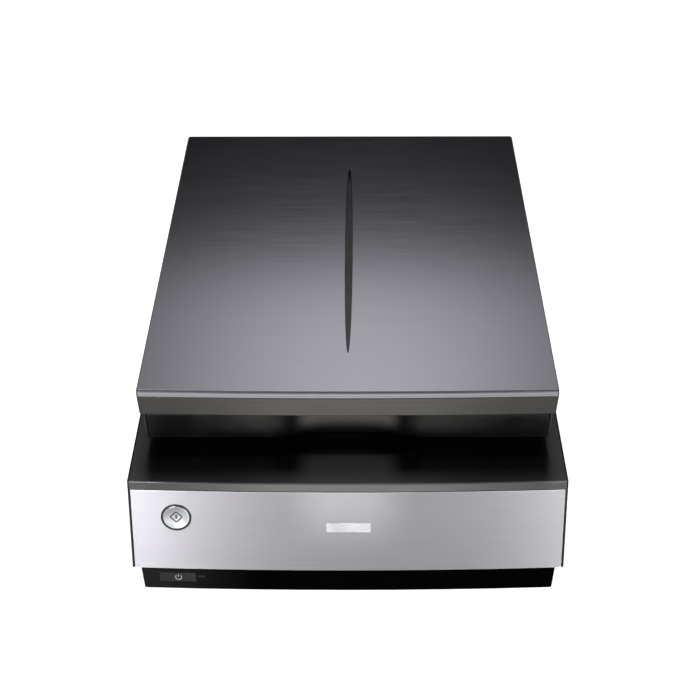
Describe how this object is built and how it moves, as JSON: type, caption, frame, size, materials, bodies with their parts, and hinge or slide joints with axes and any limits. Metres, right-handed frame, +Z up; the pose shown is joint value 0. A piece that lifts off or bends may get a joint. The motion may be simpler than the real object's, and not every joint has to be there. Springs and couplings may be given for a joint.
{
  "type": "flatbed scanner",
  "caption": "Flatbed photo scanner with a thick hinged lid holding a transparency light, brushed front panel, glass bed and belt-driven scan carriage.",
  "frame": {"origin": "middle of the footprint, on the surface it stands on", "axes": "+X to the user's right, +Y to the back, +Z up"},
  "size_m": [0.308, 0.503, 0.1524],
  "materials": {
    "case_black": "fine moulded texture",
    "plinth_black": "satin moulded",
    "deck_black": "gloss",
    "silver_front": "horizontally brushed, anodised",
    "lid_metal": "satin metallic, finely brushed",
    "lid_grey": "semi-gloss",
    "slit_gloss": "gloss",
    "bezel_dark": "semi-gloss",
    "button_silver": "satin silver",
    "key_black": "satin",
    "clear_light": "smoky clear",
    "badge_metal": "polished",
    "scan_glass": "clear",
    "window_glass": "lightly frosted",
    "white_mat": "matt white",
    "white_strip": "matt white",
    "rubber_black": "matt",
    "steel_bright": "ground and polished",
    "steel_plate": "zinc plated",
    "screw_black": "black zinc",
    "motor_can": "plated",
    "moulded_grey": "moulded",
    "moulded_white": "acetal",
    "belt_rubber": "toothed rubber",
    "board_green": "solder mask",
    "board_tan": "paper laminate",
    "socket_black": "moulded",
    "socket_metal": "plated",
    "mirror_strip": "front-silvered",
    "lens_glass": "coated",
    "lamp_white": "diffuser",
    "bronze": "sintered"
  },
  "bodies": {
    "base": {"lower_case": "case_black", "base_pan": "plinth_black", "upper_case": "deck_black", "front_panel": "silver_front", "start_button_bezel": "bezel_dark", "status_light": "clear_light", "badge_plate": "badge_metal", "button_board": "board_green", "document_glass": "scan_glass", "calibration_strip": "white_strip", "rubber_feet": "rubber_black", "case_screws": "screw_black", "power_inlet": "socket_black", "usb_port": "socket_metal", "option_connector": "socket_black", "main_board": "board_green", "power_supply_board": "board_tan", "guide_rod": "steel_bright", "rod_clips": "moulded_grey", "slide_rail": "steel_plate", "drive_motor": "motor_can", "motor_bracket": "steel_plate", "pulley_axles": "steel_bright", "idler_bracket": "moulded_grey", "tension_spring": "steel_bright", "timing_belt": "belt_rubber", "hinge_sockets": "moulded_grey"},
    "scan_carriage": {"carriage_housing": "moulded_grey", "carriage_cover": "moulded_grey", "carriage_lamps": "lamp_white", "carriage_mirrors": "mirror_strip", "sensor_board": "board_green", "rod_bushings": "bronze", "slide_pads": "moulded_white"},
    "lens_unit": {"lens_carrier": "moulded_grey", "scan_lenses": "lens_glass"},
    "motor_pinion": {"motor_pinion": "bronze"},
    "drive_gear": {"drive_gear": "moulded_white"},
    "idler_pulley": {"idler_pulley": "moulded_white"},
    "start_button": {"start_button": "button_silver"},
    "power_button": {"power_button": "key_black"},
    "transport_lock": {"transport_lock": "moulded_grey"},
    "hinge_posts": {"hinge_posts": "case_black", "hinge_pins": "steel_bright"},
    "lid": {"lid_lower_tray": "case_black", "lid_frame": "lid_grey", "lid_top_panel": "lid_metal", "lid_slot_inlay": "slit_gloss", "lid_window": "window_glass", "document_mat": "white_mat", "lid_bumpers": "rubber_black", "cable_gland": "rubber_black", "hinge_brackets": "steel_plate", "lamp_rod": "steel_bright", "lamp_motor": "motor_can", "lamp_belt": "belt_rubber"},
    "lamp_carriage": {"lamp_housing": "moulded_grey", "lamp_led_bar": "lamp_white"},
    "lamp_drive_pulley": {"lamp_drive_pulley": "moulded_white"},
    "lamp_idler_pulley": {"lamp_idler_pulley": "moulded_white"}
  },
  "joints": [
    {"name": "scan_carriage_slide", "type": "slide", "parent": "base", "child": "scan_carriage", "axis": [0, -1, 0], "range_m": [0, 0.31]},
    {"name": "lens_select", "type": "slide", "parent": "scan_carriage", "child": "lens_unit", "axis": [1, 0, 0], "range_m": [0, 0.024]},
    {"name": "drive_gear_spin", "type": "hinge", "parent": "base", "child": "drive_gear", "pos_m": [-0.04, 0.222, 0.029], "axis": [0, 0, 1], "range_deg": [-2000, 5]},
    {"name": "motor_pinion_spin", "type": "hinge", "parent": "base", "child": "motor_pinion", "pos_m": [-0.01, 0.222, 0.029], "axis": [0, 0, 1], "range_deg": [-20, 8000]},
    {"name": "idler_pulley_spin", "type": "hinge", "parent": "base", "child": "idler_pulley", "pos_m": [-0.04, -0.212, 0.02], "axis": [0, 0, 1], "range_deg": [-2000, 5]},
    {"name": "start_button_press", "type": "slide", "parent": "base", "child": "start_button", "axis": [0.0407, 0.9992, 0], "range_m": [0, 0.001], "stiffness_N_per_m": 900, "springref_m": -0.001},
    {"name": "power_button_press", "type": "slide", "parent": "base", "child": "power_button", "axis": [0, 1, 0], "range_m": [0, 0.001], "stiffness_N_per_m": 900, "springref_m": -0.001},
    {"name": "transport_lock_slide", "type": "slide", "parent": "base", "child": "transport_lock", "axis": [1, 0, 0], "range_m": [0, 0.006]},
    {"name": "hinge_post_lift", "type": "slide", "parent": "base", "child": "hinge_posts", "axis": [0, 0, 1], "range_m": [0, 0.03]},
    {"name": "lid_hinge", "type": "hinge", "parent": "hinge_posts", "child": "lid", "pos_m": [0, 0.235, 0.117], "axis": [-1, 0, 0], "range_deg": [0, 95]},
    {"name": "lamp_carriage_slide", "type": "slide", "parent": "lid", "child": "lamp_carriage", "axis": [0, -1, 0], "range_m": [0, 0.28]},
    {"name": "lamp_drive_pulley_spin", "type": "hinge", "parent": "lid", "child": "lamp_drive_pulley", "pos_m": [-0.119, 0.192, 0.109], "axis": [0, 0, 1], "range_deg": [-2750, 5]},
    {"name": "lamp_idler_pulley_spin", "type": "hinge", "parent": "lid", "child": "lamp_idler_pulley", "pos_m": [-0.119, -0.176, 0.109], "axis": [0, 0, 1], "range_deg": [-2750, 5]}
  ],
  "couplings": [
    {"joint": "drive_gear_spin", "follows": "scan_carriage_slide", "rad_per_m": -112.36},
    {"joint": "motor_pinion_spin", "follows": "scan_carriage_slide", "rad_per_m": 449.44},
    {"joint": "idler_pulley_spin", "follows": "scan_carriage_slide", "rad_per_m": -112.36},
    {"joint": "lamp_drive_pulley_spin", "follows": "lamp_carriage_slide", "rad_per_m": -169.49},
    {"joint": "lamp_idler_pulley_spin", "follows": "lamp_carriage_slide", "rad_per_m": -169.49}
  ]
}
